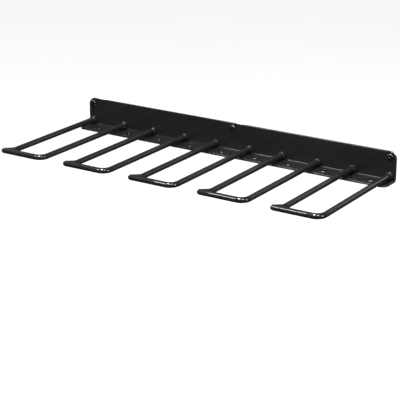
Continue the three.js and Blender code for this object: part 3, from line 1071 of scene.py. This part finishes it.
# %% [markdown]
# Natural nylon for the plugs
#
# Wall plugs are injection moulded, these in nylon without a dye, which is a milky, slightly warm white.
# The mould is spark eroded, which leaves a fine matt grain, and the plastic flows in along the plug and
# freezes with faint streaks along it. Light goes a little way in, which softens the shadows between the
# teeth.

# %% Moulded nylon
SPARK_SIZE = 0.35 * MM
SPARK_HEIGHT = 0.02 * MM
STREAK_SIZE = 1.2 * MM
STREAK_SQUEEZE = (1.0, 0.12, 1.0)
LIGHT_DEPTH = 0.8 * MM

nylon, tree, shader, place = new_material(
    "moulded_natural_nylon", IOR=1.53, Subsurface_Weight=0.25, Subsurface_Scale=LIGHT_DEPTH
)
spark = add_node(tree, "ShaderNodeTexNoise", {"Vector": place, "Scale": scale_for(SPARK_SIZE), "Detail": 2.0})
along = add_node(tree, "ShaderNodeMapping", {"Vector": place, "Scale": STREAK_SQUEEZE})
streak = add_node(
    tree, "ShaderNodeTexNoise",
    {"Vector": along.outputs["Vector"], "Scale": scale_for(STREAK_SIZE), "Detail": 3.0},
)
shade = add_node(tree, "ShaderNodeMix", {"Factor": streak.outputs["Fac"]}, data_type="RGBA")
shade.inputs["A"].default_value = colour("#dcd8cc")
shade.inputs["B"].default_value = colour("#e9e7df")
matt = add_node(tree, "ShaderNodeMapRange", {"Value": streak.outputs["Fac"], "To Min": 0.45, "To Max": 0.62})
relief = add_node(
    tree, "ShaderNodeBump", {"Height": spark.outputs["Fac"], "Strength": 0.5, "Distance": SPARK_HEIGHT}
)
tree.links.new(shade.outputs["Result"], shader.inputs["Base Color"])
tree.links.new(matt.outputs["Result"], shader.inputs["Roughness"])
tree.links.new(relief.outputs["Normal"], shader.inputs["Normal"])
print("spark grain scale:", round(scale_for(SPARK_SIZE)))

# %% [markdown]
# Dress the rack
#
# Every new piece gets its finish, rides on the rack's one body, and stands for the CAD node that it
# covers. A material could be set on each piece where it is made, but one table at the end shows at a
# glance which finish goes where.

# %% Dress the rack
black_pieces = {"back_plate": plate, **collars}
black_pieces.update({f"hook_{number}": piece for number, piece in enumerate(hooks, 1)})
finishes = [
    ("black_coat", coat, black_pieces),
    ("black_screw", oxide, wall_screws),
    ("zinc", zinc, hook_screws),
    ("pale_nylon", nylon, plugs),
]
for slot, material, pieces in finishes:
    for node, piece in pieces.items():
        piece.data.materials.clear()
        piece.data.materials.append(material)
        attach(piece, "root")
        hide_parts(node)
    print(slot, "on", len(pieces), "pieces")

# %% [markdown]
# Room and ground
#
# A plain pale floor lies far below, where it would be under a rack that hangs at hand height. A black
# gloss part shows nothing but its surroundings, so they are what gets designed. The eye sees a white room
# all round, but the reflections see a nearly dark one, so that the paint stays black wherever no lamp is
# mirrored. The floor is a matt screed with a faint cloudiness, and it stays out of the reflections too.

# %% Room and floor
ROOM_FOR_EYE = 1.05
ROOM_FOR_REFLECTIONS = 0.05
FLOOR_HEIGHT = -1.3
FLOOR_SIZE = 40
CLOUD_SIZE = 0.3

world = bpy.data.worlds.new("room")
bpy.context.scene.world = world
world.use_nodes = True
room = world.node_tree
path = add_node(room, "ShaderNodeLightPath")
level = add_node(
    room, "ShaderNodeMapRange",
    {"Value": path.outputs["Is Glossy Ray"], "To Min": ROOM_FOR_EYE, "To Max": ROOM_FOR_REFLECTIONS},
)
room.nodes["Background"].inputs["Color"].default_value = colour("#f8f9fb")
room.links.new(level.outputs["Result"], room.nodes["Background"].inputs["Strength"])
bpy.context.scene.view_settings.view_transform = "Standard"

bpy.ops.object.select_all(action="DESELECT")
bpy.ops.mesh.primitive_plane_add(size=FLOOR_SIZE, location=(0, 0, FLOOR_HEIGHT))
floor = bpy.context.object
floor.name = "floor"
floor.visible_glossy = False
screed, tree, shader, place = new_material("pale_matt_screed", Roughness=0.9)
cloud = add_node(tree, "ShaderNodeTexNoise", {"Vector": place, "Scale": scale_for(CLOUD_SIZE), "Detail": 3.0})
shade = add_node(tree, "ShaderNodeMix", {"Factor": cloud.outputs["Fac"]}, data_type="RGBA")
shade.inputs["A"].default_value = colour("#f6f6f4")
shade.inputs["B"].default_value = colour("#f8f8f7")
tree.links.new(shade.outputs["Result"], shader.inputs["Base Color"])
floor.data.materials.append(screed)
print("floor height in metres:", floor.location.z)

# %% [markdown]
# Soft boxes
#
# In a photograph of black gloss the lamps are drawn twice, as light and as their own mirror image. A rod
# is a long curved mirror, so each box shows on it as a thin line, and where the box is and how large it
# is sets where the line runs and how wide it is. The overhead key gives only light, as if it were out of
# the mirror's sight. The strip box draws the line on the front bars. The small boxes at the front and at
# the sides draw the bright points on the bends, the collars and the screw heads. The card and the strip
# beyond the plate's plane give the arms a faint sheen and a thin streak. The last three light the rack
# from behind. They are wide and dim, so that the back shows an even sheen and not a patch.

# %% Soft boxes
def soft_box(name, place, target, size, radiance, mirrored):
    """A soft rectangular lamp, equally bright all over its face. The camera doesn't see it."""
    width, height = size
    bpy.ops.object.light_add(type="AREA", location=place)
    light = bpy.context.object
    light.name = name
    light.data.shape = "RECTANGLE"
    light.data.size = width
    light.data.size_y = height
    light.data.energy = radiance * math.pi * width * height
    light.visible_camera = False
    light.visible_glossy = mirrored
    aim(light, Vector(target))
    print(name, "power in watts:", round(light.data.energy, 1))


MIDDLE = (0, 0, 0)
# Each row: name, place, what it looks at, size, brightness, and whether the paint mirrors it
BOXES = [
    ("overhead_key", (0.1, -0.1, 1.4), (0, -0.1, 0), (1.2, 0.8), 34, False),
    ("strip_box", (-0.71, -1.16, 1.1), (-0.71, -0.2, 0), (0.49, 0.26), 36, True),
    ("front_top_box", (0.1, -1.0, 1.5), (0, -0.15, 0), (0.4, 0.4), 110, True),
    ("right_front_box", (1.1, -1.1, 1.15), (0.2, -0.1, 0), (0.4, 0.3), 44, True),
    ("right_box", (1.5, -0.35, 0.25), (0.2, -0.1, 0), (0.25, 0.3), 34, True),
    ("left_box", (-1.6, 0.3, 0.6), MIDDLE, (0.4, 0.4), 20, True),
    ("wall_card", (0.18, 1.5, 0.85), MIDDLE, (1.5, 0.7), 0.25, True),
    ("wall_strip", (0.98, 1.5, 0.67), (0.98, 0, 0.3), (0.75, 0.14), 3.2, True),
    ("rear_right_box", (1.65, 1.4, -0.55), MIDDLE, (0.9, 0.8), 0.18, True),
    ("rear_left_box", (-1.3, 1.2, -0.4), MIDDLE, (0.8, 0.8), 1.5, True),
    ("rear_low_box", (0.0, 1.9, -0.5), MIDDLE, (1.3, 0.7), 1.3, True),
]
for box in BOXES:
    soft_box(*box)
